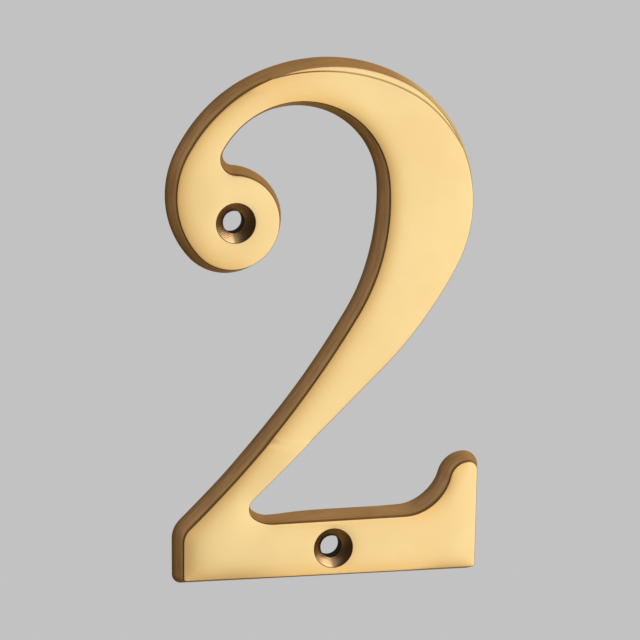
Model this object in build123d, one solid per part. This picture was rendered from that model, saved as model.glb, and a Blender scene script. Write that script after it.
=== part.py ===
from build123d import *
import math
import os

# Cast brass house number two: a flat plate with flared sides, a flat back and two countersunk screw holes.
# X is to the right, Z is up, +Y points into the wall; the back lies on Y = 0.
# The origin is on the back, on the axis of the lower screw hole.

# Plate
height = 76.0
thickness = 3.7
flare = 1.1
arris_r = 0.3
corner_r = 0.3

# Base and its turned-up tip, sizes on the front face
base_left = 22.05
base_right = 21.35
hole_above_base = 3.77
end_lean = 0.8
foot_rise = 3.97
foot_slope = 0.6
tip_r = 2.7
tip_inset = 1.15
tip_up = 9.05
tip_corner_r = 1.2
dip_r = 7.3

# Stroke from the base up to the bowl
knee_up = 2.85
knee_r = 2.6
sweep_r = 149.5
inner_corner_x = 16.05
inner_corner_up = 2.45
inner_corner_r = 1.9
inner_ease_r = 5.0
back_inset = 1.97
back_r = 60.5

# Bowl
crown_r = 23.45
crown_x = -1.15
shoulder_r = 19.5
shoulder_from = 60.5
cheek_r = 12.3
arch_r = 13.3
arch_dx = -4.1
arch_dz = 5.42
side_r = 31.2
side_from = 5.5

# Ball terminal
ball_r = 6.7
ball_dx = -14.0
ball_dz = 1.5
notch_r = 2.5

# Screw holes
bore_d = 3.2
sink_d = 5.8
sink_depth = 1.3
upper_hole_dx = 0.35
upper_hole_dz = -0.05

# Crescent facet buffed into the front edge along the top of the bowl
facet_r = 27.83
facet_dx = -1.3
facet_dz = -4.97
facet_tilt = 8.0
facet_reach = 4.0
facet_from = 40.0
facet_turn = 80.0


def direction(degrees):
    return Vector(math.cos(math.radians(degrees)), math.sin(math.radians(degrees)))


def left_of(vector):
    return Vector(-vector.Y, vector.X)


def meet(centre_a, reach_a, centre_b, reach_b, side):
    # The point at set distances from two centres, left (1) or right (-1) of the way from a to b.
    gap = centre_b - centre_a
    along = (reach_a**2 - reach_b**2 + gap.length**2) / (2 * gap.length)
    across = math.sqrt(reach_a**2 - along**2)
    way = gap.normalized()
    return centre_a + way * along + left_of(way) * side * across


def beyond(near, far, reach):
    # The point at a set distance from far, on the line that comes from near.
    return far + (far - near).normalized() * reach


def cross_lines(point_a, way_a, point_b, way_b):
    gap = point_b - point_a
    det = way_a.X * way_b.Y - way_a.Y * way_b.X
    return point_a + way_a * ((gap.X * way_b.Y - gap.Y * way_b.X) / det)


def round_arc(centre, start, end, turn):
    # An arc about centre; turn is 1 for anticlockwise and -1 for clockwise.
    first = math.atan2((start - centre).Y, (start - centre).X)
    last = math.atan2((end - centre).Y, (end - centre).X)
    half = ((last - first) * turn) % (2 * math.pi) / 2
    middle = centre + direction(math.degrees(first + turn * half)) * (start - centre).length
    return ThreePointArc(start, middle, end)


# The front outline, drawn flat with Z along Y, clockwise from the left end of the crown.
bottom = -hole_above_base
top = bottom + height - 2 * flare
crown = Vector(crown_x, top - crown_r)
ball = crown + Vector(ball_dx, ball_dz)
arch = crown + Vector(arch_dx, arch_dz)

cheek = meet(ball, cheek_r - ball_r, crown, crown_r - cheek_r, 1)
crown_left = beyond(crown, cheek, cheek_r)
ball_left = beyond(cheek, ball, ball_r)

shoulder = crown + direction(shoulder_from) * (crown_r - shoulder_r)
crown_right = crown + direction(shoulder_from) * crown_r

foot_way = direction(foot_slope)
foot_point = Vector(0, foot_rise)
inner_sharp = foot_point + foot_way * (-inner_corner_x / foot_way.X)
lead = shoulder - inner_sharp
stand_off = shoulder_r + back_inset
slope = math.degrees(math.atan2(lead.Y, lead.X) - math.asin(stand_off / lead.length))
rise_way = direction(slope)
rise_out = Vector(rise_way.Y, -rise_way.X)
lead_across = back_r - stand_off
lead_along = lead.dot(rise_way) - math.sqrt((back_r - shoulder_r) ** 2 - lead_across**2)
back = inner_sharp - rise_out * back_r + rise_way * lead_along
shoulder_end = beyond(back, shoulder, shoulder_r)
rise_end = back + rise_out * back_r

# The inner corner is tight beside the stroke and eases out along the foot.
foot_out = left_of(foot_way)
inner = cross_lines(
    inner_sharp + rise_out * inner_corner_r, rise_way, inner_sharp + foot_out * inner_corner_up, foot_way
)
ease_up = inner_ease_r - inner_corner_up
ease_along = math.sqrt((inner_ease_r - inner_corner_r) ** 2 - ease_up**2)
ease = inner + foot_out * ease_up + foot_way * ease_along
inner_start = inner - rise_out * inner_corner_r
inner_end = beyond(ease, inner, inner_corner_r)
ease_end = ease - foot_out * inner_ease_r

end_way = direction(90 - end_lean)
end_out = Vector(end_way.Y, -end_way.X)
end_point = Vector(base_right, bottom)
tip = cross_lines(end_point - end_out * tip_inset, end_way, Vector(0, tip_up), Vector(1, 0))
tip_end = tip + end_out * tip_inset + end_way * math.sqrt(tip_r**2 - tip_inset**2)
dip_line = foot_point + foot_out * dip_r
tip_lead = tip - dip_line
tip_across = tip_lead.dot(foot_out)
dip_along = tip_lead.dot(foot_way) - math.sqrt((dip_r + tip_r) ** 2 - tip_across**2)
dip = dip_line + foot_way * dip_along
dip_start = dip - foot_out * dip_r
dip_end = beyond(tip, dip, -dip_r)

side = arch - direction(side_from) * (side_r - arch_r)
side_start = arch + direction(side_from) * arch_r
knee_sharp = Vector(-base_left, knee_up)
sweep = meet(knee_sharp, sweep_r, side, sweep_r - side_r, 1)
sweep_end = beyond(sweep, side, side_r)

notch = meet(ball, ball_r + notch_r, arch, arch_r - notch_r, 1)
arch_end = beyond(arch, notch, notch_r)
ball_start = beyond(notch, ball, -ball_r)

outline = Curve() + [
    round_arc(crown, crown_left, crown_right, -1),
    round_arc(shoulder, crown_right, shoulder_end, -1),
    round_arc(back, shoulder_end, rise_end, -1),
    Line(rise_end, inner_start),
    round_arc(inner, inner_start, inner_end, 1),
    round_arc(ease, inner_end, ease_end, 1),
    Line(ease_end, dip_start),
    round_arc(dip, dip_start, dip_end, 1),
    round_arc(tip, dip_end, tip_end, -1),
    Line(tip_end, end_point),
    Line(end_point, Vector(-base_left, bottom)),
    Line(Vector(-base_left, bottom), knee_sharp),
    round_arc(sweep, knee_sharp, sweep_end, 1),
    round_arc(side, sweep_end, side_start, 1),
    round_arc(arch, side_start, arch_end, 1),
    round_arc(notch, arch_end, ball_start, 1),
    round_arc(ball, ball_start, ball_left, -1),
    round_arc(cheek, ball_left, crown_left, -1),
]
front = make_face(outline)


def corner(face, point):
    return face.vertices().sort_by_distance(point)[0]


front = fillet(corner(front, knee_sharp), knee_r)
front = fillet(corner(front, tip_end), tip_corner_r)
for sharp in (end_point, Vector(-base_left, bottom)):
    front = fillet(corner(front, sharp), corner_r)

# The plate: the back outline stands out by the flare on all sides, and the walls lean in to the front.
back_face = offset(front, amount=flare, kind=Kind.ARC)
wall_lean = math.degrees(math.atan2(flare, thickness))
plate = extrude(back_face, amount=thickness, taper=wall_lean)
front_edges = plate.faces().sort_by(Axis.Z)[-1].outer_wire().edges()
plate = fillet(front_edges, arris_r)

# The crescent: a shallow cone about its own centre takes the edge down where the bowl stands outside its circle.
facet_centre = crown + Vector(facet_dx, facet_dz)
facet_axis = Axis((facet_centre.X, facet_centre.Y, 0), (0, 0, 1))
facet_drop = facet_reach * math.tan(math.radians(facet_tilt))
facet_plane = Plane((facet_centre.X, facet_centre.Y, thickness), x_dir=(1, 0, 0), z_dir=(0, -1, 0))
facet_section = Polyline(
    (facet_r, 0), (facet_r + facet_reach, -facet_drop), (facet_r + facet_reach, facet_drop), (facet_r, 0)
)
facet_ring = revolve(facet_plane * make_face(facet_section), axis=facet_axis, revolution_arc=facet_turn)
plate -= facet_ring.rotate(facet_axis, facet_from)

# Two countersunk screw holes, one through the base and one through the ball.
upper_hole = ball + Vector(upper_hole_dx, upper_hole_dz)
for centre in (Vector(0, 0), upper_hole):
    plate -= Pos(centre.X, centre.Y, thickness / 2) * Cylinder(bore_d / 2, thickness)
    plate -= Pos(centre.X, centre.Y, thickness - sink_depth / 2) * Cone(bore_d / 2, sink_d / 2, sink_depth)

# Stand the plate up with its face towards -Y.
numeral = Rot(90, 0, 0) * plate
numeral.label = "numeral"

os.makedirs("parts", exist_ok=True)
export_step(numeral, "parts/numeral.step")
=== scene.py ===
import math

import bmesh
import bpy
import numpy as np
from mathutils import Matrix, Vector
from mathutils.geometry import delaunay_2d_cdt


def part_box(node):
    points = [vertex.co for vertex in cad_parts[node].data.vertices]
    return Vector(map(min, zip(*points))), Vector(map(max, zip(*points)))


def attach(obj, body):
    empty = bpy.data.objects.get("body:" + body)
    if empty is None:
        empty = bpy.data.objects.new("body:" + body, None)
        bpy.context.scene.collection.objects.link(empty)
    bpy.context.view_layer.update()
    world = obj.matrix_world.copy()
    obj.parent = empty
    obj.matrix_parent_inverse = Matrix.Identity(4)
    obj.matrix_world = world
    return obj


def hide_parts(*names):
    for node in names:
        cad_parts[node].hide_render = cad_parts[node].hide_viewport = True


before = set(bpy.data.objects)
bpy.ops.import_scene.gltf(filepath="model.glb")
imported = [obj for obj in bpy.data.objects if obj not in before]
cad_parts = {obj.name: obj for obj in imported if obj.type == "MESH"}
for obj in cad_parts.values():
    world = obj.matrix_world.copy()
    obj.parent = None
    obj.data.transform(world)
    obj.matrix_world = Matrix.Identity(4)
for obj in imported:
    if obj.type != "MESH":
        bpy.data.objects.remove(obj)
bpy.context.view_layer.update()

MM = 0.001

bl_info = {
    "name": "Brass House Number",
    "version": (1, 0, 0),
    "blender": (4, 5, 0),
    "location": "3D View > Sidebar > House Number",
    "description": "Builds a cast brass house number two and the studio it is shown in",
    "category": "Object",
}


# Property helpers


def length(name, description, millimetres):
    return bpy.props.FloatProperty(
        name=name, description=description, default=millimetres * MM, precision=5,
        unit="LENGTH", subtype="DISTANCE",
    )


def angle(name, description, degrees):
    return bpy.props.FloatProperty(
        name=name, description=description, default=math.radians(degrees), unit="ROTATION", subtype="ANGLE"
    )


def factor(name, description, value):
    return bpy.props.FloatProperty(
        name=name, description=description, default=value, subtype="FACTOR", min=0.0, max=1.0
    )


def colour(name, description, value):
    return bpy.props.FloatVectorProperty(
        name=name, description=description, default=value, size=3, subtype="COLOR", min=0.0, max=1.0
    )


class NumeralSizes(bpy.types.PropertyGroup):
    """Sizes of the cast numeral."""

    height: length("Height", "Overall height at the back", 76.0)
    thickness: length("Thickness", "From the back to the face", 3.7)
    flare: length("Flare", "How far the back stands out past the face on every side", 1.1)
    arris_radius: length("Arris Radius", "Rounding between the face and the sides", 0.08)
    back_edge_radius: length("Back Edge Radius", "Rounding between the sides and the back", 0.05)
    corner_radius: length("Corner Radius", "Rounding of the corners of the base", 0.3)
    base_left: length("Base Left", "Lower screw to the left end of the base", 22.05)
    base_right: length("Base Right", "Lower screw to the right end of the base", 21.35)
    hole_above_base: length("Screw Above Base", "Lower screw above the bottom edge", 3.77)
    end_lean: angle("End Lean", "Lean of the right end of the base", 0.8)
    foot_rise: length("Foot Rise", "Top of the foot above the lower screw", 3.97)
    foot_slope: angle("Foot Slope", "Slope of the top of the foot", 0.6)
    tip_radius: length("Tip Radius", "Rounding of the turned-up tip", 2.7)
    tip_inset: length("Tip Inset", "Centre of the tip's rounding inside the right end", 1.15)
    tip_up: length("Tip Height", "Centre of the tip's rounding above the lower screw", 9.05)
    tip_corner_radius: length("Tip Corner", "Rounding between the tip and the right end", 1.2)
    dip_radius: length("Dip Radius", "Hollow between the foot and its tip", 7.3)
    knee_up: length("Knee Height", "Knee of the stroke above the lower screw", 2.85)
    knee_radius: length("Knee Radius", "Rounding of the knee", 2.6)
    sweep_radius: length("Sweep Radius", "Long hollow curve of the stroke's left side", 149.5)
    inner_corner: length("Inner Corner", "Lower screw to the corner between the stroke and the foot", 16.05)
    inner_up: length("Inner Height", "Centre of that corner's rounding above the foot", 2.45)
    inner_radius: length("Inner Radius", "Rounding of that corner beside the stroke", 1.9)
    inner_ease: length("Inner Ease", "Wider rounding of that corner along the foot", 5.0)
    back_inset: length("Back Inset", "Shoulder circle inside the line of the stroke's right side", 1.97)
    back_radius: length("Back Radius", "Curve between the shoulder and the stroke's right side", 60.5)
    crown_radius: length("Crown Radius", "Top of the bowl", 23.45)
    crown_across: length("Crown Across", "Centre of the crown across from the lower screw", -1.15)
    shoulder_radius: length("Shoulder Radius", "Right side of the bowl", 19.5)
    shoulder_from: angle("Shoulder From", "Where the crown turns into the shoulder", 60.5)
    cheek_radius: length("Cheek Radius", "Left side of the bowl", 12.3)
    arch_radius: length("Arch Radius", "Opening under the bowl", 13.3)
    arch_across: length("Arch Across", "Centre of the arch across from the crown's", -4.1)
    arch_up: length("Arch Up", "Centre of the arch above the crown's", 5.42)
    side_radius: length("Side Radius", "Inner side of the stroke under the arch", 31.2)
    side_from: angle("Side From", "Where the arch turns into the inner side", 5.5)
    ball_radius: length("Ball Radius", "Ball terminal", 6.7)
    ball_across: length("Ball Across", "Centre of the ball across from the crown's", -14.0)
    ball_up: length("Ball Up", "Centre of the ball above the crown's", 1.5)
    notch_radius: length("Notch Radius", "Rounding between the ball and the arch", 2.5)
    bore: length("Screw Bore", "Width of the straight screw hole", 3.2)
    sink: length("Sink Width", "Width of the countersink at the face", 5.8)
    sink_depth: length("Sink Depth", "Depth of the countersink", 1.3)
    sink_edge: length("Sink Edge", "Rounding at the mouth of the countersink", 0.1)
    upper_screw_across: length("Upper Screw Across", "Upper screw across from the ball's centre", 0.35)
    upper_screw_up: length("Upper Screw Up", "Upper screw above the ball's centre", -0.05)
    crown_slope: angle("Face Crown", "Slope of the buffed face at its edge", 8.2)
    crown_reach: length("Crown Reach", "How far in from the edge the buffing rounds the face", 1.7)
    facet_radius: length("Facet Radius", "Inner line of the crescent ledge along the top of the bowl", 27.5)
    facet_across: length("Facet Across", "Centre of the crescent across from the crown's", -1.4)
    facet_up: length("Facet Up", "Centre of the crescent above the crown's", -4.64)
    facet_bend: length("Facet Bend", "Radius by which the crescent's line turns in at its right end", 29.5)
    facet_bend_from: length("Facet Bend From", "Where it starts to turn in, across from the crown's", 12.4)
    facet_step: length("Facet Step", "Drop from the face to the crescent ledge", 0.08)
    facet_ramp: length("Facet Ramp", "Width of that drop", 0.09)
    facet_tilt: angle("Facet Tilt", "Slope of the crescent ledge, down towards its edge", -1.5)
    # Facet Line is how far the painted shade along the crescent's drop spreads on each side.
    facet_line: length("Facet Line", "How far tarnish spreads on each side of that drop", 0.11)
    facet_flat: length("Facet Flat", "How far inside the crescent the face stays flat", 1.6)
    ball_flat: factor("Ball Flat", "How much of the face's rounding the ball terminal is spared", 0.45)
    dish_slope: angle("Dish Slope", "Slope that buffing leaves round the countersinks", 3.5)
    dish_reach: length("Dish Reach", "How far that slope reaches", 0.9)
    spacing: length("Mesh Spacing", "Distance between points of the outline", 0.35)


class NumeralFinish(bpy.types.PropertyGroup):
    """Colours of the brass."""

    face: colour("Buffed Face", "Polished brass of the face", (0.95, 0.70, 0.325))
    # Also painted light on the upper part of the sides that look left.
    face_drift_and_sheen: colour("Face Drift", "Warmer tone that the face drifts to", (0.895, 0.64, 0.285))
    # Painted shade: the face turns this deeper tone along its edges that look left or down.
    face_edge_shade: colour("Face Edge", "Deeper tone of the face along its edge", (0.89, 0.57, 0.215))
    # Painted shade: a brown line along the drop of the crescent ledge.
    tarnish: colour("Tarnish", "Brown line in the corner of the crescent ledge", (0.17, 0.09, 0.03))
    side: colour("Satin Side", "Satin brass of the cast sides", (0.60, 0.335, 0.15))
    side_drift: colour("Side Drift", "Darker tone that the sides drift to", (0.47, 0.255, 0.11))
    # Painted shade on the sides that look left, darker towards the back; also the tone of the drawn marks and
    # the painted shade at the countersinks' mouths.
    side_shade_and_marks: colour("Side at the Back", "Sides where they meet the wall", (0.24, 0.145, 0.07))
    # Painted shade: a dark line under the arris all round, a little wider where the side looks up.
    arris_line_shade: colour("Arris Line", "Dark line that polish leaves under the arris", (0.25, 0.13, 0.048))
    sink: colour("Turned Sink", "Cut brass of the countersinks", (0.555, 0.372, 0.186))
    # Painted shade: the bores of the screw holes are near black.
    bore: colour("Dark Bore", "Tarnish inside the screw holes", (0.035, 0.020, 0.010))
    back: colour("Linished Back", "Ground brass of the back", (0.62, 0.42, 0.19))


class StudioSettings(bpy.types.PropertyGroup):
    """Camera, floor and backdrop."""

    backdrop: colour("Backdrop", "Pale grey of the floor and the background", (0.539, 0.539, 0.539))
    camera_across: angle("Camera Across", "Camera to the left of the face's normal", 14.8)
    camera_above: angle("Camera Above", "Camera above the face's normal", 10.2)
    camera_roll: angle("Camera Roll", "Tilt of the camera", -0.55)
    camera_distance: length("Camera Distance", "From the camera to the middle of the face", 616.0)
    aim_across: length("Aim Across", "Aim of the camera across from the lower screw", -2.35)
    aim_up: length("Aim Up", "Aim of the camera above the lower screw", 33.66)
    lens: bpy.props.FloatProperty(
        name="Lens", description="Focal length of the camera", default=241.9,
        unit="CAMERA", subtype="DISTANCE_CAMERA",
    )
    floor_drop: length("Floor Drop", "Floor below the lower screw", 500.0)


# Outline of the face, drawn flat with Z along Y

FINEST_TURN = math.radians(7.0)


def heading(radians):
    return Vector((math.cos(radians), math.sin(radians)))


def left_of(way):
    return Vector((-way.y, way.x))


def meet(centre_a, reach_a, centre_b, reach_b):
    """The point at set distances from two centres, left of the way from a to b."""
    gap = centre_b - centre_a
    along = (reach_a**2 - reach_b**2 + gap.length_squared) / (2 * gap.length)
    way = gap.normalized()
    return centre_a + way * along + left_of(way) * math.sqrt(reach_a**2 - along**2)


def beyond(near, far, reach):
    """The point at a set distance from far, on the line that comes from near."""
    return far + (far - near).normalized() * reach


def cross_lines(point_a, way_a, point_b, way_b):
    gap = point_b - point_a
    det = way_a.x * way_b.y - way_a.y * way_b.x
    return point_a + way_a * ((gap.x * way_b.y - gap.y * way_b.x) / det)


class Outline:
    """The outline of the face as tangent arcs and lines, clockwise, and the centres that other pieces use."""

    def __init__(self, s):
        bottom = -s.hole_above_base
        top = bottom + s.height - 2 * s.flare
        crown = Vector((s.crown_across, top - s.crown_radius))
        ball = crown + Vector((s.ball_across, s.ball_up))
        arch = crown + Vector((s.arch_across, s.arch_up))
        self.lower_screw = Vector((0.0, 0.0))
        self.upper_screw = ball + Vector((s.upper_screw_across, s.upper_screw_up))
        self.facet = crown + Vector((s.facet_across, s.facet_up))
        self.crown = crown

        cheek = meet(ball, s.cheek_radius - s.ball_radius, crown, s.crown_radius - s.cheek_radius)
        crown_left = beyond(crown, cheek, s.cheek_radius)
        ball_left = beyond(cheek, ball, s.ball_radius)
        shoulder_way = heading(s.shoulder_from)
        shoulder = crown + shoulder_way * (s.crown_radius - s.shoulder_radius)
        crown_right = crown + shoulder_way * s.crown_radius

        foot_way = heading(s.foot_slope)
        foot_up = left_of(foot_way)
        foot = Vector((0.0, s.foot_rise))
        inner_sharp = foot - foot_way * (s.inner_corner / foot_way.x)
        lead = shoulder - inner_sharp
        stand_off = s.shoulder_radius + s.back_inset
        rise_way = heading(math.atan2(lead.y, lead.x) - math.asin(stand_off / lead.length))
        rise_out = -left_of(rise_way)
        run = math.sqrt((s.back_radius - s.shoulder_radius) ** 2 - (s.back_radius - stand_off) ** 2)
        back = inner_sharp - rise_out * s.back_radius + rise_way * (lead.dot(rise_way) - run)
        shoulder_end = beyond(back, shoulder, s.shoulder_radius)
        rise_end = back + rise_out * s.back_radius
        inner = cross_lines(
            inner_sharp + rise_out * s.inner_radius, rise_way, inner_sharp + foot_up * s.inner_up, foot_way
        )
        ease_up = s.inner_ease - s.inner_up
        ease_run = math.sqrt((s.inner_ease - s.inner_radius) ** 2 - ease_up**2)
        ease = inner + foot_up * ease_up + foot_way * ease_run
        inner_start = inner - rise_out * s.inner_radius
        inner_end = beyond(ease, inner, s.inner_radius)
        ease_end = ease - foot_up * s.inner_ease

        end_way = heading(math.pi / 2 - s.end_lean)
        end_out = -left_of(end_way)
        end_low = Vector((s.base_right, bottom))
        level = Vector((1.0, 0.0))
        tip = cross_lines(end_low - end_out * s.tip_inset, end_way, Vector((0.0, s.tip_up)), level)
        tip_lead = tip - foot - foot_up * s.dip_radius
        dip_run = tip_lead.dot(foot_way) - math.sqrt(
            (s.dip_radius + s.tip_radius) ** 2 - tip_lead.dot(foot_up) ** 2
        )
        dip = foot + foot_up * s.dip_radius + foot_way * dip_run
        dip_start = dip - foot_up * s.dip_radius
        dip_end = beyond(tip, dip, -s.dip_radius)
        nook = s.tip_inset - s.tip_corner_radius
        nook_up = math.sqrt((s.tip_radius - s.tip_corner_radius) ** 2 - nook**2)
        tip_corner = tip + end_out * nook + end_way * nook_up
        tip_end = beyond(tip, tip_corner, s.tip_corner_radius)
        end_top = tip_corner + end_out * s.tip_corner_radius
        r = s.corner_radius
        floor_line = Vector((0.0, bottom + r))
        corner_right = cross_lines(end_low - end_out * r, end_way, floor_line, level)
        corner_left = Vector((r - s.base_left, bottom + r))

        side_way = heading(s.side_from)
        side = arch - side_way * (s.side_radius - s.arch_radius)
        side_start = arch + side_way * s.arch_radius
        knee_sharp = Vector((-s.base_left, s.knee_up))
        sweep = meet(knee_sharp, s.sweep_radius, side, s.sweep_radius - s.side_radius)
        sweep_end = beyond(sweep, side, s.side_radius)
        knee_across = s.knee_radius - s.base_left
        knee_drop = math.sqrt((s.sweep_radius + s.knee_radius) ** 2 - (knee_across - sweep.x) ** 2)
        knee = Vector((knee_across, sweep.y - knee_drop))
        knee_end = beyond(sweep, knee, -s.knee_radius)
        notch = meet(ball, s.ball_radius + s.notch_radius, arch, s.arch_radius - s.notch_radius)
        arch_end = beyond(arch, notch, s.notch_radius)
        ball_start = beyond(notch, ball, -s.ball_radius)

        down = Vector((0.0, -r))
        west = Vector((-1.0, 0.0))
        self.runs = [
            ("line", corner_right + down, corner_left + down),
            ("arc", corner_left, corner_left + down, corner_left + west * r, -1),
            ("line", corner_left + west * r, knee + west * s.knee_radius),
            ("arc", knee, knee + west * s.knee_radius, knee_end, -1),
            ("arc", sweep, knee_end, sweep_end, 1),
            ("arc", side, sweep_end, side_start, 1),
            ("arc", arch, side_start, arch_end, 1),
            ("arc", notch, arch_end, ball_start, 1),
            ("arc", ball, ball_start, ball_left, -1),
            ("arc", cheek, ball_left, crown_left, -1),
            ("arc", crown, crown_left, crown_right, -1),
            ("arc", shoulder, crown_right, shoulder_end, -1),
            ("arc", back, shoulder_end, rise_end, -1),
            ("line", rise_end, inner_start),
            ("arc", inner, inner_start, inner_end, 1),
            ("arc", ease, inner_end, ease_end, 1),
            ("line", ease_end, dip_start),
            ("arc", dip, dip_start, dip_end, 1),
            ("arc", tip, dip_end, tip_end, -1),
            ("arc", tip_corner, tip_end, end_top, -1),
            ("line", end_top, corner_right + end_out * r),
            ("arc", corner_right, corner_right + end_out * r, corner_right + down, -1),
        ]

    @staticmethod
    def swing(centre, start, end, turn):
        """Radius, first angle and angle turned through of an arc."""
        first, last = start - centre, end - centre
        begin = math.atan2(first.y, first.x)
        return first.length, begin, (turn * (math.atan2(last.y, last.x) - begin)) % (2 * math.pi)

    def spot(self, index, share):
        """A point part of the way along one arc of the outline, and the way out from the face there."""
        _, centre, start, end, turn = self.runs[index]
        radius, begin, swing = self.swing(centre, start, end, turn)
        way = heading(begin + turn * swing * share)
        return centre + way * radius, way * -turn

    def points(self, spacing):
        """Points all the way round, closer together on tight bends."""
        found = []
        for run in self.runs:
            if run[0] == "line":
                start, end = run[1:]
                count = max(1, math.ceil((end - start).length / spacing))
                found += [start.lerp(end, i / count) for i in range(count)]
                continue
            centre, start, end, turn = run[1:]
            radius, begin, swing = self.swing(centre, start, end, turn)
            count = max(2, math.ceil(swing * radius / spacing), math.ceil(swing / FINEST_TURN))
            found += [centre + heading(begin + turn * swing * i / count) * radius for i in range(count)]
        return np.array([(p.x, p.y) for p in found])


# Plane geometry on point arrays

# Points handled at a time
BLOCK = 512

# Most rounds of the smooth fade and what counts as settled, and rounds of a simple repeated estimate
MOST_ROUNDS, SETTLED = 400, 1e-24
STEADY_ROUNDS = 6


def outward(loop):
    """Unit normals of a closed clockwise loop, pointing away from the face."""
    ahead = np.roll(loop, -1, 0) - loop
    ahead /= np.linalg.norm(ahead, axis=1)[:, None]
    way = ahead + np.roll(ahead, 1, 0)
    way /= np.linalg.norm(way, axis=1)[:, None]
    return np.c_[-way[:, 1], way[:, 0]]


def gap_to(points, loop):
    """Distance from each point to a closed loop."""
    start, step = loop, np.roll(loop, -1, 0) - loop
    size = (step**2).sum(1)
    best = np.full(len(points), np.inf)
    for i in range(0, len(points), BLOCK):
        p = points[i : i + BLOCK, None, :] - start[None]
        t = np.clip((p * step[None]).sum(2) / size[None], 0.0, 1.0)
        best[i : i + BLOCK] = np.linalg.norm(p - step[None] * t[..., None], axis=2).min(1)
    return best


def within(points, loop):
    """True for each point inside a closed loop."""
    x, y = points[:, :1], points[:, 1:]
    x0, y0 = loop[:, 0][None], loop[:, 1][None]
    x1, y1 = np.roll(loop[:, 0], -1)[None], np.roll(loop[:, 1], -1)[None]
    spans = (y0 > y) != (y1 > y)
    cut = x0 + (y - y0) * (x1 - x0) / np.where(y1 == y0, 1.0, y1 - y0)
    return (spans & (x < cut)).sum(1) % 2 == 1


def apart(points, others, least):
    """The points that keep a set distance from all of some others."""
    return points[np.linalg.norm(points[:, None, :] - others[None], axis=2).min(1) > least]


def ring(centre, radius, count):
    turn = 2 * np.pi * np.arange(count) / count
    return np.c_[centre[0] + radius * np.cos(turn), centre[1] + radius * np.sin(turn)]


def dying_away(points, faces, rim, at_rim, reach):
    """How a value set along the rim of a flat mesh dies away inwards, smoothly round every corner.

    Beside a long straight edge it falls off exponentially; elsewhere the edges on all sides add up.
    """
    corner = points[faces]
    side = np.roll(corner, -2, 1) - np.roll(corner, -1, 1)
    area = 0.5 * np.abs(side[:, 0, 0] * side[:, 1, 1] - side[:, 0, 1] * side[:, 1, 0])
    stiff = np.einsum("tid,tjd->tij", side, side) / (4 * area)[:, None, None]
    stiff += np.eye(3) * (area / 3 / reach**2)[:, None, None]

    def spread(value):
        return np.bincount(faces.ravel(), value.ravel(), len(points))

    def pull(value):
        return np.where(free, spread(np.einsum("tij,tj->ti", stiff, value[faces])), 0.0)

    free = ~rim & (spread(np.ones(faces.shape)) > 0)
    weight = np.where(free, spread(np.einsum("tii->ti", stiff)), 1.0)
    fade = np.where(rim, at_rim, 0.0)
    left = -pull(fade)
    way = left / weight
    energy = left @ way
    for _ in range(MOST_ROUNDS):
        pulled = pull(way)
        step = energy / (way @ pulled)
        fade = fade + step * way
        left = left - step * pulled
        eased_left = left / weight
        energy, before = left @ eased_left, energy
        if energy < SETTLED:
            break
        way = eased_left + way * (energy / before)
    return fade


# Cross sections

ARRIS_STEPS, WALL_STEPS, BACK_EDGE_STEPS = 8, 8, 5
MOUTH_STEPS, CONE_STEPS, BORE_STEPS, BORE_EDGE_STEPS = 5, 8, 6, 3


def bend(centre, radius, first, last, steps):
    """Points of an arc in a section, at angles from straight up."""
    turns = [first + (last - first) * i / steps for i in range(steps + 1)]
    return [(centre[0] + radius * math.sin(a), centre[1] + radius * math.cos(a)) for a in turns]


def straight(start, end, steps):
    """Points of a line in a section, after its start."""
    return [tuple(a + (b - a) * i / steps for a, b in zip(start, end)) for i in range(1, steps + 1)]


def wall_section(s):
    """The side from the face to the back as (outward, height) pairs, and how far in the face ends."""
    lean = math.atan2(s.flare, s.thickness)
    slope, reach, r, b = math.tan(s.crown_slope), s.crown_reach, s.arris_radius, s.back_edge_radius
    inset = r
    for _ in range(STEADY_ROUNDS):
        fade = math.exp(-inset / reach)
        drop, tilt = slope * reach * fade, math.atan(slope * fade)
        foot_height = s.thickness - drop - r * math.cos(tilt) + r * math.sin(lean)
        inset = r * math.cos(lean) - r * math.sin(tilt) - s.flare * (1 - foot_height / s.thickness)
    arris = (-inset - r * math.sin(tilt), s.thickness - drop - r * math.cos(tilt))
    low_up = b + b * math.sin(lean)
    low = (s.flare * (1 - low_up / s.thickness), low_up)
    section = bend(arris, r, tilt, math.pi / 2 - lean, ARRIS_STEPS)
    section += straight(section[-1], low, WALL_STEPS)
    section += bend((low[0] - b * math.cos(lean), b), b, math.pi / 2 - lean, math.pi, BACK_EDGE_STEPS)[1:]
    return section, inset


def sink_section(s):
    """The screw hole from the face to the back as (radius, height) pairs."""
    bore, wide, e = s.bore / 2, s.sink / 2, s.sink_edge
    fall = math.atan2(s.sink_depth, wide - bore)
    foot = (bore, s.thickness - s.sink_depth)
    section = bend((wide + e * math.tan(fall / 2), s.thickness - e), e, 0.0, -fall, MOUTH_STEPS)
    section += straight(section[-1], foot, CONE_STEPS) + straight(foot, (bore, e), BORE_STEPS)
    section += bend((bore + e, e), e, -math.pi / 2, -math.pi, BORE_EDGE_STEPS)[1:]
    return section


# Node building


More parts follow.
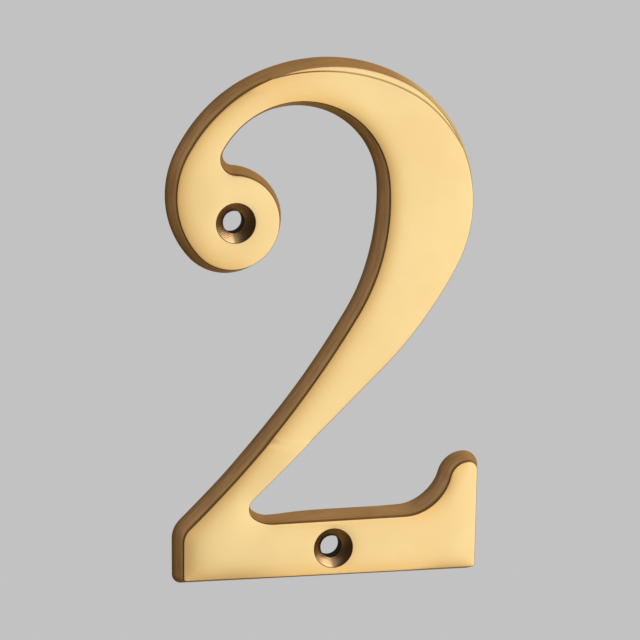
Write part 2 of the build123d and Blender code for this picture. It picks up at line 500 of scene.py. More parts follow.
class Field:
    """What one socket of a node tree gives. Arithmetic with it adds Math nodes to the tree."""

    def __init__(self, tree, socket):
        self.tree, self.socket = tree, socket

    def sums(self, operation, *values):
        return field(self.tree, "ShaderNodeMath", dict(enumerate(values)), operation=operation)

    def __add__(self, other):
        return self.sums("ADD", self, other)

    def __sub__(self, other):
        return self.sums("SUBTRACT", self, other)

    def __rsub__(self, other):
        return self.sums("SUBTRACT", other, self)

    def __mul__(self, other):
        return self.sums("MULTIPLY", self, other)

    def __truediv__(self, other):
        return self.sums("DIVIDE", self, other)

    def at_least(self, other):
        return self.sums("MAXIMUM", self, other)

    def at_most(self, other):
        return self.sums("MINIMUM", self, other)

    def falling(self):
        """1 at zero, dying away exponentially as the number grows."""
        return self.sums("EXPONENT", self * -1.0)

    def eased(self, low, high, to_low=0.0, to_high=1.0):
        """A smooth step from one value at low to another at high."""
        sockets = {"Value": self, "From Min": low, "From Max": high, "To Min": to_low, "To Max": to_high}
        return field(self.tree, "ShaderNodeMapRange", sockets, interpolation_type="SMOOTHSTEP")


def fill(node, sockets):
    """Fills a node's sockets with values or links."""
    for key, value in sockets.items():
        if isinstance(value, Field):
            value.tree.links.new(value.socket, node.inputs[key])
        else:
            node.inputs[key].default_value = value


def place(tree, kind, sockets=None, **options):
    """Adds one node, sets its options and fills its sockets."""
    made = tree.nodes.new(kind)
    for option, value in options.items():
        setattr(made, option, value)
    fill(made, sockets or {})
    return made


def field(tree, kind, sockets=None, output=0, **options):
    """Adds one node, as what one of its sockets gives."""
    return Field(tree, place(tree, kind, sockets, **options).outputs[output])


def mixed(amount, first, second):
    """One colour mix."""
    return field(amount.tree, "ShaderNodeMix", {0: amount, 6: first, 7: second}, 2, data_type="RGBA")


def new_tree(name, kind, inputs, outputs):
    """A node tree with named sockets, each a (name, type) row, what its inputs give and its output node."""
    tree = bpy.data.node_groups.new(name, kind)
    for rows, way in ((inputs, "INPUT"), (outputs, "OUTPUT")):
        for label, socket_type in rows:
            tree.interface.new_socket(name=label, in_out=way, socket_type=socket_type)
    given = place(tree, "NodeGroupInput").outputs
    return tree, {socket.name: Field(tree, socket) for socket in given}, place(tree, "NodeGroupOutput")


# The plate

# Points round a screw hole, how close points are made one, and the angle from which an edge shows sharp
SINK_STEPS = 96
MERGE_DISTANCE, WELD_DISTANCE = 0.01 * MM, 0.004 * MM
SHARP_ANGLE = math.radians(32.0)

# How far an inward normal of the outline has to turn for its side to count as facing left or up
LEFTWARD, UPWARD = (0.1, 0.9), (-0.2, -0.8)

# How far under the face the crowning and the crescent still move the wall
CROWN_DEPTH, LEDGE_DEPTH = 1.4 * MM, 1.6 * MM

# Stretches, from the crown's centre, over which one treatment of the bowl gives way to another
BUFFED_ACROSS, BUFFED_UP = (8.0 * MM, 17.0 * MM), (-5.0 * MM, 6.0 * MM)
FLAT_LEFT, FLAT_RIGHT = (-16.0 * MM, -5.0 * MM), (18.5 * MM, 10.5 * MM)
BARE_LEFT = (14.0 * MM, 4.0 * MM)

# The ball stays part flat near its screw, from the far to the near distance, and a dish fades out at the edge
BALL_REACH = (28.0 * MM, 12.0 * MM)
DISH_CLEAR = (0.3 * MM, 1.0 * MM)

# The crescent fades in from this height above the upper screw, over this much. Painted shade covers its corner
# by this amount, out to this share of the drop's width on each side.
FACET_LOW, FACET_FADE = 8.0 * MM, 3.0 * MM
LEDGE_SHADE_COVER, LEDGE_SHADE_SPREAD = 0.91, 0.7

# Where the edges of the casting wander from an even flare: the edge that moves, arc of the outline, share of
# the way along it, amount outwards and reach in millimetres. A front edge takes this much of the face with it.
WANDER = (
    ("back", 10, 0.20, 0.36, 7.5),
    ("back", 7, 0.70, 0.16, 3.0),
    ("back", 5, 0.55, 0.31, 10.0),
    ("back", 4, 0.05, 0.14, 7.0),
    ("back", 4, 0.42, 0.16, 9.0),
    ("back", 4, 0.85, 0.08, 7.0),
    ("back", 17, 0.50, 0.32, 4.5),
    ("back", 15, 0.80, -0.42, 4.4),
    ("back", 6, 0.93, 0.34, 5.5),
    ("back", 8, 0.34, 0.10, 4.0),
    ("back", 8, 0.65, -0.10, 4.0),
    ("front", 11, 0.05, 0.25, 7.0),
)
FRONT_REACH = 0.6 * MM

SOCKET_TYPES = (
    (bpy.types.Object, "NodeSocketObject"),
    (bpy.types.Material, "NodeSocketMaterial"),
    (tuple, "NodeSocketVector"),
    (float, "NodeSocketFloat"),
)


class PlateTree:
    """Geometry Nodes for the plate: crowned face, side swept round it, turned screw holes and flat back."""

    def __init__(self, inputs):
        rows = [("Face", "NodeSocketGeometry")]
        for name, value in inputs.items():
            rows.append((name, next(kind for base, kind in SOCKET_TYPES if isinstance(value, base))))
        made = new_tree("Flared Plate", "GeometryNodeTree", rows, [("Plate", "NodeSocketGeometry")])
        self.tree, self.size, result = made
        size = self.size
        at = self.parts(self.node("GeometryNodeInputPosition"))
        self.up, self.high = at["Y"], at["Z"]
        self.flat = self.node("ShaderNodeCombineXYZ", {"X": at["X"], "Y": at["Y"]})
        from_crown = self.parts(self.vectors("SUBTRACT", self.flat, size["Crown Centre"]))
        self.right_of_crown, self.above_crown = from_crown["X"], from_crown["Y"]
        self.outline = self.marked_outline()
        rail = self.node("GeometryNodeCurveToMesh", {"Curve": self.outline})
        sockets = {0: rail, 2: self.flat}
        self.gap = self.node("GeometryNodeProximity", sockets, "Distance", target_element="EDGES")
        self.screws = self.screw_points()
        self.crowned = size["Crown Slope"] * size["Crown Reach"] * self.sampled("rounding")

        whole = self.joined(self.ledged(self.buffed_front(), self.side()), self.back())
        whole = self.node("GeometryNodeMergeByDistance", {"Geometry": whole, "Distance": MERGE_DISTANCE})
        whole = self.node("GeometryNodeSetShadeSmooth", {"Geometry": whole})
        whole = self.moved(whole, self.wandering())
        upright = {"Geometry": whole, "Rotation": (math.pi / 2, 0.0, 0.0)}
        fill(result, {0: self.realized(self.node("GeometryNodeTransform", upright))})

    def node(self, kind, sockets=None, output=0, **options):
        return field(self.tree, kind, sockets, output, **options)

    def vectors(self, operation, first, second, output=0):
        return self.node("ShaderNodeVectorMath", {0: first, 1: second}, output, operation=operation)

    def scaled(self, vector, number):
        return self.node("ShaderNodeVectorMath", {0: vector, "Scale": number}, operation="SCALE")

    def distance(self, name):
        return self.vectors("DISTANCE", self.flat, self.size[name], "Value")

    def parts(self, vector):
        made = place(self.tree, "ShaderNodeSeparateXYZ", {0: vector})
        return {socket.name: Field(self.tree, socket) for socket in made.outputs}

    def curve_of(self, name):
        return self.node("GeometryNodeObjectInfo", {"Object": self.size[name]}, "Geometry")

    def upright_normals(self, curve):
        return self.node("GeometryNodeSetCurveNormal", {"Curve": curve}, mode="Z_UP")

    def circle(self, name):
        sockets = {"Resolution": SINK_STEPS, "Radius": self.size[name]}
        return self.node("GeometryNodeCurvePrimitiveCircle", sockets)

    def swept(self, path, section):
        """A section swept along a path, with the share of the way along the section stored on it."""
        shares = self.node("GeometryNodeSplineParameter", output="Factor")
        profile = self.stored(self.curve_of(section), "across", shares)
        return self.node("GeometryNodeCurveToMesh", {"Curve": path, "Profile Curve": profile})

    def stored(self, geometry, name, value):
        sockets = {"Geometry": geometry, "Name": name, "Value": value}
        return self.node("GeometryNodeStoreNamedAttribute", sockets, data_type="FLOAT", domain="POINT")

    def sampled(self, name):
        """A value that the flat face carries, read under each point."""
        value = self.node("GeometryNodeInputNamedAttribute", {"Name": name}, data_type="FLOAT")
        sockets = {"Mesh": self.size["Face"], "Value": value, "Sample Position": self.flat}
        return self.node("GeometryNodeSampleNearestSurface", sockets, "Value", data_type="FLOAT")

    def finished(self, geometry, name):
        return self.node("GeometryNodeSetMaterial", {"Geometry": geometry, "Material": self.size[name]})

    def realized(self, geometry):
        return self.node("GeometryNodeRealizeInstances", {"Geometry": geometry})

    def joined(self, *pieces):
        made = place(self.tree, "GeometryNodeJoinGeometry")
        for piece in reversed(pieces):
            fill(made, {0: piece})
        return Field(self.tree, made.outputs[0])

    def moved(self, geometry, offset):
        return self.node("GeometryNodeSetPosition", {"Geometry": geometry, "Offset": offset})

    def raised(self, geometry, height):
        return self.moved(geometry, self.node("ShaderNodeCombineXYZ", {"Z": height}))

    def near_top(self, depth):
        """1 at the face and 0 at a set depth under it."""
        return self.high.eased(self.size["Thickness"] - depth, self.size["Thickness"])

    def marked_outline(self):
        """The outline, with its length and the ways that its side faces stored on it."""
        outline = self.upright_normals(self.curve_of("Outline"))
        outline = self.stored(outline, "along", self.node("GeometryNodeSplineParameter", output="Length"))
        inward = self.parts(self.node("GeometryNodeInputNormal"))
        outline = self.stored(outline, "leftward", inward["X"].eased(*LEFTWARD))
        return self.stored(outline, "upward", inward["Y"].eased(*UPWARD))

    def screw_points(self):
        index = self.node("GeometryNodeInputIndex")
        first = self.node("FunctionNodeCompare", {2: index, 3: 0}, data_type="INT", operation="EQUAL")
        sockets = {0: first, 1: self.size["Upper Screw"], 2: self.size["Lower Screw"]}
        spot = self.node("GeometryNodeSwitch", sockets, input_type="VECTOR")
        return self.node("GeometryNodePoints", {"Count": 2, "Position": spot})

    def at_screws(self, piece):
        sockets = {"Points": self.screws, "Instance": piece}
        return self.realized(self.node("GeometryNodeInstanceOnPoints", sockets))

    def buffed_front(self):
        """The face and the screw holes, buffed down at the edge of the face and round the holes."""
        size = self.size
        face = self.finished(self.raised(size["Face"], size["Thickness"]), "Face Finish")
        hole = self.swept(self.upright_normals(self.circle("Bore Radius")), "Sink Section")
        holes = self.at_screws(self.finished(hole, "Sink Finish"))
        from_screw = self.distance("Lower Screw").at_most(self.distance("Upper Screw"))
        from_mouth = (from_screw - size["Mouth Radius"]).at_least(0.0)
        dished = (from_mouth / size["Dish Reach"]).falling() * self.gap.eased(*DISH_CLEAR)
        dished = size["Dish Slope"] * size["Dish Reach"] * dished
        # The edge value carries the painted shade along the face's left and lower edges.
        front = self.stored(self.joined(face, holes), "edge", self.sampled("warmth"))
        return self.raised(front, (self.crowned + dished) * (self.near_top(CROWN_DEPTH) * -1.0))

    def side(self):
        """The side follows the outline, and is buffed with the face at the top right of the bowl."""
        side = self.finished(self.swept(self.outline, "Side Section"), "Side Finish")
        buffed = self.right_of_crown.eased(*BUFFED_ACROSS) * self.above_crown.eased(*BUFFED_UP)
        return self.stored(side, "buffed", buffed)

    def ledged(self, front, side):
        """The crescent ledge lies outside its circle along the top of the bowl, where the face stays flat.

        At its right end the circle turns in, and the ledge dies out.
        """
        size, radius, across = self.size, self.size["Facet Radius"], self.right_of_crown
        turned = (across - size["Facet Bend From"]).at_least(0.0)
        spread = self.distance("Facet Centre") + turned * turned / (size["Facet Bend"] * 2.0)
        past = (spread - radius).at_least(0.0)
        ledge = (past / size["Facet Ramp"]).at_most(1.0) * size["Facet Step"] + past * size["Facet Slope"]
        high = self.up.eased(size["Facet Above"], size["Facet Above"] + FACET_FADE)
        flat = spread.eased(radius - size["Facet Flat"], radius)
        flat = flat * across.eased(*FLAT_LEFT) * across.eased(*FLAT_RIGHT)
        flat = flat.at_least(self.distance("Upper Screw").eased(*BALL_REACH, 0.0, size["Ball Flat"]))
        from_ramp = spread - (radius + size["Facet Ramp"] * 0.5)
        from_ramp = from_ramp.sums("ABSOLUTE", from_ramp)
        ramp = from_ramp.sums("LESS_THAN", from_ramp, size["Facet Ramp"] * LEDGE_SHADE_SPREAD)
        bare = past.sums("GREATER_THAN", past, 0.0) * across.eased(*BARE_LEFT)
        # Where the crescent bares the edge, the side gets no painted arris shade.
        side = self.stored(side, "lined", 1.0 - bare * high)
        # Painted shade over the crescent's drop.
        front = self.stored(self.joined(front, side), "tarnish", ramp * high * LEDGE_SHADE_COVER)
        return self.raised(front, (self.crowned * flat - ledge * high) * self.near_top(LEDGE_DEPTH))

    def back(self):
        """The flat back, filled inside the edge of the side and around the screw holes."""
        out = self.scaled(self.node("GeometryNodeInputNormal"), self.size["Back Reach"] * -1.0)
        rims = self.joined(self.moved(self.outline, out), self.at_screws(self.circle("Back Bore Radius")))
        filled = self.node("GeometryNodeFillCurve", {"Curve": rims}, mode="TRIANGLES")
        return self.finished(filled, "Back Finish")

    def wandering(self):
        """The flare of the casting wanders: its edges are drawn a little out or in, in a few places."""
        deep = (1.0 - self.high / self.size["Thickness"]).at_least(0.0)
        amounts = {"back": deep, "front": (1.0 - deep) * (self.gap / FRONT_REACH).falling()}
        pulls = []
        for number, row in enumerate(WANDER):
            away = self.distance(f"Wander {number} Place") / self.size[f"Wander {number} Reach"]
            near = (away * away).falling() * amounts[row[0]]
            pulls.append(self.scaled(self.size[f"Wander {number} Pull"], near))
        total = pulls[0]
        for pull in pulls[1:]:
            total = self.vectors("ADD", total, pull)
        return total


# Finishes

# Width of the side, rings that turning leaves in a screw hole, and where along its section the bore starts
WALL_WIDTH = 4.0 * MM
TURNING_RINGS = 13
BORE_FROM = (0.42, 0.435)


def object_place(tree):
    return field(tree, "ShaderNodeTexCoord", output="Object")


def attribute(tree, name):
    return field(tree, "ShaderNodeAttribute", output="Fac", attribute_name=name)


def clouding_group():
    """Slow drift between two tones of brass."""
    inputs = [
        ("Colour", "NodeSocketColor"), ("Drift Colour", "NodeSocketColor"),
        ("Scale", "NodeSocketFloat"), ("Amount", "NodeSocketFloat"),
    ]
    tree, size, result = new_tree("Brass Clouding", "ShaderNodeTree", inputs, [("Colour", "NodeSocketColor")])
    sockets = {"Vector": object_place(tree), "Scale": size["Scale"], "Detail": 3.0}
    cloud = field(tree, "ShaderNodeTexNoise", sockets).eased(0.33, 0.67)
    fill(result, {"Colour": mixed(cloud * size["Amount"], size["Colour"], size["Drift Colour"])})
    return tree


def marks_group():
    """Fine marks drawn out in one direction, as a height from 0 to 1."""
    inputs = [("Place", "NodeSocketVector"), ("Stretch", "NodeSocketVector"), ("Detail", "NodeSocketFloat")]
    tree, size, result = new_tree("Fine Marks", "ShaderNodeTree", inputs, [("Height", "NodeSocketFloat")])
    drawn = field(tree, "ShaderNodeVectorMath", {0: size["Place"], 1: size["Stretch"]}, operation="MULTIPLY")
    sockets = {"Vector": drawn, "Scale": 1.0, "Detail": size["Detail"]}
    fill(result, {"Height": field(tree, "ShaderNodeTexNoise", sockets)})
    return tree


def brass_material(name):
    """A material with one Principled shader, plain metal, and its node tree."""
    material = bpy.data.materials.new(name)
    material.use_nodes = True
    shader = material.node_tree.nodes["Principled BSDF"]
    fill(shader, {"Metallic": 1.0})
    return material, material.node_tree, shader


def bumped(*layers):
    """Bump nodes in a row, each from a height and a depth in millimetres, as the last normal."""
    sockets = {"Strength": 1.0}
    for height, depth in layers:
        sockets.update({"Height": height, "Distance": depth * MM})
        sockets["Normal"] = field(height.tree, "ShaderNodeBump", sockets)
    return sockets["Normal"]


class Finishes:
    """The four finishes of the casting, with the two effects that they share."""

    def __init__(self, colours):
        self.colours = colours
        self.clouding = clouding_group()
        self.marks = marks_group()

    def tint(self, name):
        return (*getattr(self.colours, name), 1.0)

    def toned(self, amount, base, name):
        """A colour that gives way to a named one by an amount."""
        return mixed(amount, base, self.tint(name))

    def clouded(self, tree, first, drift, scale, amount):
        sockets = {"Colour": self.tint(first), "Drift Colour": self.tint(drift)}
        sockets.update({"Scale": scale, "Amount": amount})
        return field(tree, "ShaderNodeGroup", sockets, "Colour", node_tree=self.clouding)

    def marked(self, where, stretch, detail):
        sockets = {"Place": where, "Stretch": stretch, "Detail": detail}
        return field(where.tree, "ShaderNodeGroup", sockets, "Height", node_tree=self.marks)

    def face(self):
        material, tree, shader = brass_material("buffed_brass_face")
        tone = self.clouded(tree, "face", "face_drift_and_sheen", 95.0, 0.8)
        # Painted shade along the edges of the face that look left and down.
        tone = self.toned(attribute(tree, "edge").eased(0.10, 0.85), tone, "face_edge_shade")
        # Painted shade along the drop of the crescent ledge.
        tone = self.toned(attribute(tree, "tarnish"), tone, "tarnish")
        where = object_place(tree)
        swell = self.marked(where, (120.0, 120.0, 95.0), 1.0)
        hairs = self.marked(where, (5200.0, 5200.0, 900.0), 2.0)
        normal = bumped((swell, 0.012), (hairs, 0.0003))
        fill(shader, {"Base Color": tone, "Roughness": 0.25, "Normal": normal})
        return material

    def side(self):
        material, tree, shader = brass_material("satin_brass_side")
        across, leftward = attribute(tree, "across"), attribute(tree, "leftward")
        sockets = {"X": attribute(tree, "along"), "Y": across * WALL_WIDTH}
        drawn = self.marked(field(tree, "ShaderNodeCombineXYZ", sockets), (260.0, 3400.0, 1.0), 3.0)
        grit = self.marked(object_place(tree), (2600.0, 2600.0, 2600.0), 2.0)
        tone = self.clouded(tree, "side", "side_drift", 160.0, 0.7)
        # Painted shade: the sides that look left darken towards the back.
        tone = self.toned(across.eased(0.55, 1.0) * leftward, tone, "side_shade_and_marks")
        # Drawn marks on the sides, in the same dark tone.
        tone = self.toned(drawn.eased(0.35, 0.75, 0.0, 0.30), tone, "side_shade_and_marks")
        tone = self.toned(attribute(tree, "buffed"), tone, "face_drift_and_sheen")
        reach = attribute(tree, "upward") * 0.05 + 0.16
        # Painted light: the sides that look left turn paler just under the arris.
        tone = self.toned(across.eased(reach * 2.4, reach * 1.1, 0.0, 0.3) * leftward, tone, "face_drift_and_sheen")
        # Painted shade along the arris, left off where the crescent bares the edge.
        tone = self.toned(across.eased(reach, reach * 0.45) * attribute(tree, "lined"), tone, "arris_line_shade")
        rough, normal = drawn.eased(0.3, 0.7, 0.36, 0.48), bumped((drawn, 0.006), (grit, 0.003))
        fill(shader, {"Base Color": tone, "Roughness": rough, "Normal": normal})
        fill(shader, {"Specular Tint": (0.80, 0.62, 0.36, 1.0)})
        return material

    def sink(self):
        material, tree, shader = brass_material("turned_brass_sink")
        across = attribute(tree, "across")
        bore = across.eased(*BORE_FROM)
        tone = self.clouded(tree, "sink", "side_drift", 900.0, 0.35)
        # Painted shade: a dark ring on the rounded mouth of each countersink.
        tone = mixed(across.eased(0.01, 0.06), self.tint("side_shade_and_marks"), tone)
        # Painted shade: near black inside the bore.
        tone = self.toned(bore, tone, "bore")
        rings = across.sums("SINE", across * (2 * math.pi * TURNING_RINGS))
        rough, normal = across.eased(*BORE_FROM, 0.22, 0.85), bumped((rings, 0.0035))
        fill(shader, {"Base Color": tone, "Metallic": 1.0 - bore, "Roughness": rough, "Normal": normal})
        fill(shader, {"Specular IOR Level": 0.1})
        return material

    def back(self):
        material, tree, shader = brass_material("linished_brass_back")
        belt = self.marked(object_place(tree), (90.0, 90.0, 3600.0), 3.0)
        tone = self.clouded(tree, "back", "side", 110.0, 0.45)
        tone = self.toned(belt.eased(0.4, 0.8, 0.0, 0.4), tone, "side")
        rough = belt.eased(0.3, 0.7, 0.38, 0.55)
        fill(shader, {"Base Color": tone, "Roughness": rough, "Normal": bumped((belt, 0.012))})
        return material


# Helper curves and meshes

# Rows of points along the edge of the face, and the even field that starts inside them
EDGE_ROWS = (0.28 * MM, 0.6 * MM, 0.98 * MM, 1.45 * MM, 2.0 * MM)
ROW_CROWDING = 0.985
FIELD_FROM, FIELD_STEP = 2.35 * MM, 0.5 * MM

# Rings of points round each screw hole, and how far other points keep from them and they from the edge
SCREW_RINGS = (0.3 * MM, 0.65 * MM)
SCREW_CLEAR, RING_CLEAR, RING_FROM_EDGE = 0.7 * FIELD_STEP, 0.15 * MM, 0.1 * MM

# Points along the crescent, and how far other points keep from them and they from the edge
CRESCENT_TURN = np.radians(np.arange(25.0, 130.0, 0.4))
CRESCENT_CLEAR, CRESCENT_FROM_EDGE = 0.13 * MM, 0.02 * MM
ON_RIM, SAME_POINT = 1e-7, 1e-9


def path_object(name, points, closed):
    """A poly curve object in the XY plane."""
    data = bpy.data.curves.new(name, "CURVE")
    data.dimensions = "3D"
    spline = data.splines.new("POLY")
    spline.points.add(len(points) - 1)
    for target, (x, y) in zip(spline.points, points):
        target.co = (x, y, 0.0, 1.0)
    spline.use_cyclic_u = closed
    made = bpy.data.objects.new(name, data)
    bpy.context.scene.collection.objects.link(made)
    return made


def face_points(outline, loop, border, inset, mouth):
    """Loose points of the face: rows that follow its edge, an even field and rings round the screw holes."""
    normals = outward(loop)
    found = []
    for depth in EDGE_ROWS:
        line = loop - normals * (inset + depth)
        found.append(line[gap_to(line, loop) > (inset + depth) * ROW_CROWDING])
    low, high = loop.min(0), loop.max(0)
    across = np.arange(low[0], high[0], FIELD_STEP)
    for i, y in enumerate(np.arange(low[1], high[1], FIELD_STEP * math.sqrt(3) / 2)):
        line = np.c_[across + FIELD_STEP / 2 * (i % 2), np.full(len(across), y)]
        line = line[within(line, border)]
        found.append(line[gap_to(line, loop) > inset + FIELD_FROM])
    loose = np.vstack(found)
    loose = loose[within(loose, border)]
    for centre in (outline.lower_screw, outline.upper_screw):
        loose = apart(loose, np.array([centre]), mouth + SCREW_CLEAR)
        for more in SCREW_RINGS:
            extra = ring(centre, mouth + more, SINK_STEPS)
            clear = within(extra, border) & (gap_to(extra, border) > RING_FROM_EDGE)
            loose = np.vstack([apart(loose, extra, RING_CLEAR), extra[clear]])
    return loose


def crescent_lines(s, outline, border):
    """Four lines of points along the crescent: both edges of its drop, and the edge of the painted shade on
    each side.
    """
    inner, outer = s.facet_radius, s.facet_radius + s.facet_ramp
    turn, lines = CRESCENT_TURN, []
    for radius in (inner - s.facet_line, inner, outer, outer + s.facet_line):
        reach = np.full(len(turn), radius)
        for _ in range(STEADY_ROUNDS):
            bent = outline.facet.x + reach * np.cos(turn) - outline.crown.x - s.facet_bend_from
            reach = radius - np.maximum(bent, 0.0) ** 2 / (2 * s.facet_bend)
        line = np.c_[outline.facet.x + reach * np.cos(turn), outline.facet.y + reach * np.sin(turn)]
        lines.append(line[within(line, border) & (gap_to(line, border) > CRESCENT_FROM_EDGE)])
    return lines


def face_mesh(s, outline, loop, inset):
    """The flat face in triangles, with how its rounding and its painted edge shade die away from its edge."""
    normals = outward(loop)
    border = loop - normals * inset
    mouth = sink_section(s)[0][0]
    screws = (outline.lower_screw, outline.upper_screw)
    rounds = [border, *(ring(centre, mouth, SINK_STEPS) for centre in screws)]
    creases = crescent_lines(s, outline, border)
    loose = apart(face_points(outline, loop, border, inset, mouth), np.vstack(creases), CRESCENT_CLEAR)
    edges, start = [], 0
    for line, closed in [(line, True) for line in rounds] + [(line, False) for line in creases]:
        count = len(line)
        edges += [(start + i, start + (i + 1) % count) for i in range(count if closed else count - 1)]
        start += count
    points = [Vector(p) for p in np.vstack([*rounds, *creases, loose])]
    spots, _, faces, _, _, _ = delaunay_2d_cdt(points, edges, [], 0, SAME_POINT)
    spots = np.array([(p.x, p.y) for p in spots])
    faces = np.array([f for f in faces if len(f) == 3])
    in_border, *in_holes = (within(spots[faces].mean(1), line) for line in rounds)
    faces = faces[in_border & ~np.any(in_holes, axis=0)]
    mesh = bpy.data.meshes.new("face_field")
    mesh.from_pydata([(x, y, 0.0) for x, y in spots], [], faces.tolist())

    # Edges that look left get painted shade, and those that look down get a little.
    shade_from, shade_below, shade_width = 0.45, 0.35, 0.9
    rim = gap_to(spots, border) < ON_RIM
    nearest = np.array([((border - p) ** 2).sum(1).argmin() if at else 0 for p, at in zip(spots, rim)])
    way = normals[nearest]
    shade_side = (shade_from - way[:, 0] - shade_below * np.minimum(way[:, 1], 0.0)) / shade_width
    shade_side = np.clip(shade_side, 0.0, 1.0)
    most = math.exp(-inset / s.crown_reach)
    for name, at_rim in (("rounding", most), ("warmth", most * shade_side * shade_side * (3.0 - 2.0 * shade_side))):
        layer = mesh.attributes.new(name, "FLOAT", "POINT")
        layer.data.foreach_set("value", dying_away(spots, faces, rim, at_rim, s.crown_reach))
    kept = bmesh.new()
    kept.from_mesh(mesh)
    bmesh.ops.delete(kept, geom=[v for v in kept.verts if not v.link_faces], context="VERTS")
    kept.to_mesh(mesh)
    kept.free()
    return mesh


def set_inputs(modifier, values):
    """Fills a modifier's named inputs by their sockets' identifiers."""
    items = modifier.node_group.interface.items_tree
    names = {item.name: item.identifier for item in items if item.in_out == "INPUT"}
    for name, value in values.items():
        modifier[names[name]] = value


def plain_mesh(worked, name):
    """The evaluated object as a plain mesh, closed and facing outwards."""
    bpy.context.view_layer.update()
    graph = bpy.context.evaluated_depsgraph_get()
    shaped = worked.evaluated_get(graph)
    mesh = bpy.data.meshes.new_from_object(shaped, preserve_all_data_layers=True, depsgraph=graph)
    mesh.name = name
    tidy = bmesh.new()
    tidy.from_mesh(mesh)
    bmesh.ops.remove_doubles(tidy, verts=tidy.verts, dist=WELD_DISTANCE)
    bmesh.ops.recalc_face_normals(tidy, faces=tidy.faces)
    loose = [e for e in tidy.edges if len(e.link_faces) != 2]
    if loose:
        raise RuntimeError(f"{len(loose)} open edges in the mesh, the first at {loose[0].verts[0].co}")
    tidy.to_mesh(mesh)
    tidy.free()
    mesh.set_sharp_from_angle(angle=SHARP_ANGLE)
    return mesh


class HOUSENUMBER_OT_numeral(bpy.types.Operator):
    """Build the cast brass numeral with its crowned face, flared sides and countersunk screw holes"""

    bl_idname = "house_number.numeral"
    bl_label = "Build Numeral"

    def execute(self, context):
        s = context.scene.numeral_sizes
        finishes = Finishes(context.scene.numeral_finish)
        outline = Outline(s)
        loop = outline.points(s.spacing)
        section, inset = wall_section(s)
        sink = sink_section(s)
        path = path_object("numeral_outline", loop, True)
        side = path_object("numeral_side", [(-a, -h) for a, h in section], False)
        hole = path_object("numeral_sink", [(r - s.bore / 2, -h) for r, h in sink], False)
        worked = bpy.data.objects.new("numeral_worked", face_mesh(s, outline, loop, inset))
        context.scene.collection.objects.link(worked)
        inputs = {
            "Outline": path,
            "Side Section": side,
            "Sink Section": hole,
            "Thickness": s.thickness,
            "Crown Slope": math.tan(s.crown_slope),
            "Crown Reach": s.crown_reach,
            "Crown Centre": (*outline.crown, 0.0),
            "Lower Screw": (*outline.lower_screw, 0.0),
            "Upper Screw": (*outline.upper_screw, 0.0),
            "Bore Radius": s.bore / 2,
            "Back Bore Radius": sink[-1][0],
            "Back Reach": section[-1][0],
            "Facet Centre": (*outline.facet, 0.0),
            "Facet Radius": s.facet_radius,
            "Facet Bend": s.facet_bend,
            "Facet Bend From": s.facet_bend_from,
            "Facet Step": s.facet_step,
            "Facet Ramp": s.facet_ramp,
            "Facet Slope": math.tan(s.facet_tilt),
            "Facet Above": outline.upper_screw.y + FACET_LOW,
            "Facet Flat": s.facet_flat,
            "Ball Flat": s.ball_flat,
            "Mouth Radius": sink[0][0],
            "Dish Slope": math.tan(s.dish_slope),
            "Dish Reach": s.dish_reach,
            "Face Finish": finishes.face(),
            "Side Finish": finishes.side(),
            "Sink Finish": finishes.sink(),
            "Back Finish": finishes.back(),
        }
        for number, (_, arc, along, amount, reach) in enumerate(WANDER):
            point, out = outline.spot(arc, along)
            inputs[f"Wander {number} Place"] = (*point, 0.0)
            inputs[f"Wander {number} Pull"] = (*(out * amount * MM), 0.0)
            inputs[f"Wander {number} Reach"] = reach * MM
        modifier = worked.modifiers.new("Flared Plate", "NODES")
        modifier.node_group = PlateTree(inputs).tree
        set_inputs(modifier, inputs)
        mesh = plain_mesh(worked, "brass_numeral")
        worked.modifiers.remove(modifier)
        for helper in (worked, path, side, hole):
            bpy.data.objects.remove(helper)
        numeral = bpy.data.objects.new("brass_numeral", mesh)
        context.scene.collection.objects.link(numeral)
        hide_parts("numeral")
        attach(numeral, "root")
        return {"FINISHED"}


# The stage

# The floor's brightness as the camera sees it, how much of that it sees, and the light from all sides
FLOOR_WIDTH = 12.0
FLOOR_GLOW, FLOOR_SEEN = 1.037, 0.92
AMBIENT, WHITE = 0.6, (1.0, 1.0, 1.0, 1.0)
SENSOR_WIDTH, CLIP_RANGE = 36.0, (0.01, 50.0)

# The middle of the face, which the lamps and cards stand round
AIM = Vector((-0.002, -0.0037, 0.034))

# Name, degrees to the right of the face's normal and above it, distance, width, height, brightness and roll
SOFTBOXES = (
    ("key_softbox", 29.2, -6.5, 0.9, 0.72, 0.56, 0.46, 26.0),
    ("top_softbox", 86.0, 38.0, 0.8, 0.55, 1.1, 1.85, 0.0),
    ("rim_softbox", 145.0, 15.0, 1.0, 0.6, 0.7, 0.08, 0.0),
    ("right_softbox", 46.0, -13.0, 0.9, 0.3, 0.5, 0.18, 0.0),
)

# Name, degrees to the right of the face's normal and above it, distance, width, height and colour
DARK_CARDS = (
    ("left_card", -76.0, 27.0, 0.7, 0.75, 2.6, (0.06, 0.05, 0.04)),
    ("low_left_card", -80.0, -62.0, 0.42, 0.7, 0.66, (0.06, 0.05, 0.04)),
    ("far_card", -140.0, -20.0, 0.75, 0.9, 0.8, (0.50, 0.48, 0.46)),
    ("low_card", -168.0, -45.0, 0.6, 0.55, 0.4, (0.42, 0.40, 0.38)),
)


def two_looks(owner, result, lit, seen, amount=1.0):
    """Gives a material or world one look for the camera and reflections and another for plain light."""
    owner.use_nodes = True
    tree = owner.node_tree
    tree.nodes.clear()
    path = place(tree, "ShaderNodeLightPath").outputs
    rays = ("Is Camera Ray", "Is Glossy Ray", "Is Transmission Ray")
    camera, glossy, through = (Field(tree, path[ray]) for ray in rays)
    share = (camera + glossy + through).at_most(1.0) * amount
    mix = field(tree, "ShaderNodeMixShader", {0: share, 1: field(tree, *lit), 2: field(tree, *seen)})
    place(tree, result, {"Surface": mix})
    return owner


